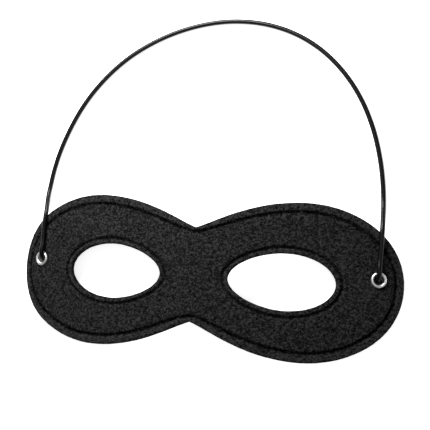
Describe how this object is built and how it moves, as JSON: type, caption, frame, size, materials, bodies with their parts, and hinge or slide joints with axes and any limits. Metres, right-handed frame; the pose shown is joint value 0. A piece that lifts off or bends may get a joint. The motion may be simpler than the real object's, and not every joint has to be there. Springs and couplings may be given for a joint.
{
  "type": "domino mask",
  "caption": "Half-face domino mask of pressed felt with egg-shaped eye holes, rolled metal eyelets at the temples and a round elastic cord knotted behind them.",
  "frame": {"origin": "on the floor under the middle of the nose, the mask lying on its back", "axes": "+X to the right seen from the front, +Y to the brow and the cord's arch, +Z out of the face side"},
  "size_m": [0.1952, 0.1684, 0.0209],
  "materials": {
    "felt": "matt heathered felt with pressed grooves",
    "eyelet_metal": "bright rolled nickel plate",
    "elastic": "satin round elastic"
  },
  "bodies": {
    "root": {"mask_felt": "felt", "eyelet_left": "eyelet_metal", "eyelet_right": "eyelet_metal", "knot_left": "elastic", "knot_right": "elastic", "elastic_cord": "elastic"}
  },
  "joints": []
}
